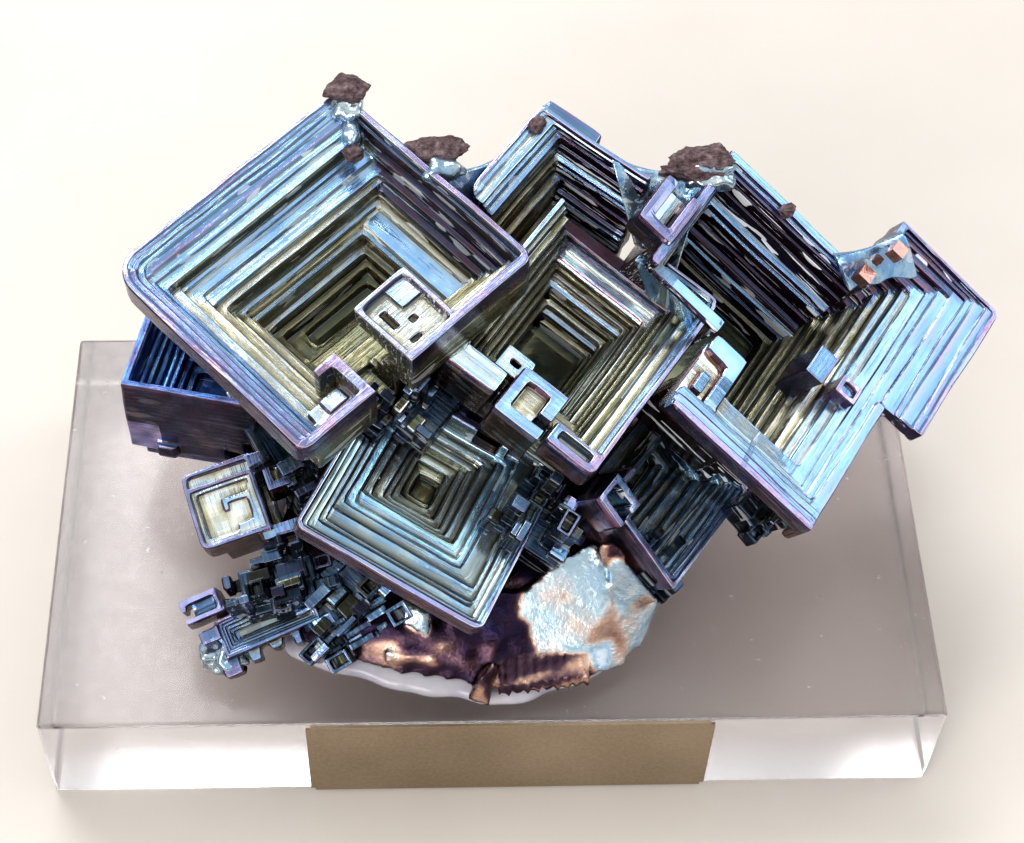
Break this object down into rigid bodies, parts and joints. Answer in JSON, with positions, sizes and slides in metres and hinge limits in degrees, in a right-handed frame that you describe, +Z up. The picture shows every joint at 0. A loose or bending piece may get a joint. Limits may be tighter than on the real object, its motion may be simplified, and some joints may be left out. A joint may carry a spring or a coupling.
{
  "type": "bismuth crystal specimen",
  "caption": "Cluster of stepped, iridescent hopper crystals grown from one lump of metal, glued on a clear rectangular display block with a bare label strip.",
  "frame": {"origin": "middle of the acrylic block's underside", "axes": "+X along the block's length, to the right as the label is read; +Y to its back; +Z up, out of the block's top"},
  "size_m": [0.0903, 0.0496, 0.0474],
  "materials": {
    "crystal": "bismuth metal under a thin interference film of oxide: lavender and blue rims, sky blue, cream and gold treads, dark brown-purple inner walls",
    "acrylic_block": "clear cast acrylic, dusty on top",
    "label": "matte bronze tape, bare",
    "glue": "set translucent glue"
  },
  "bodies": {
    "root": {"crystal": "crystal", "acrylic_block": "acrylic_block", "label": "label", "glue": "glue"}
  },
  "joints": []
}
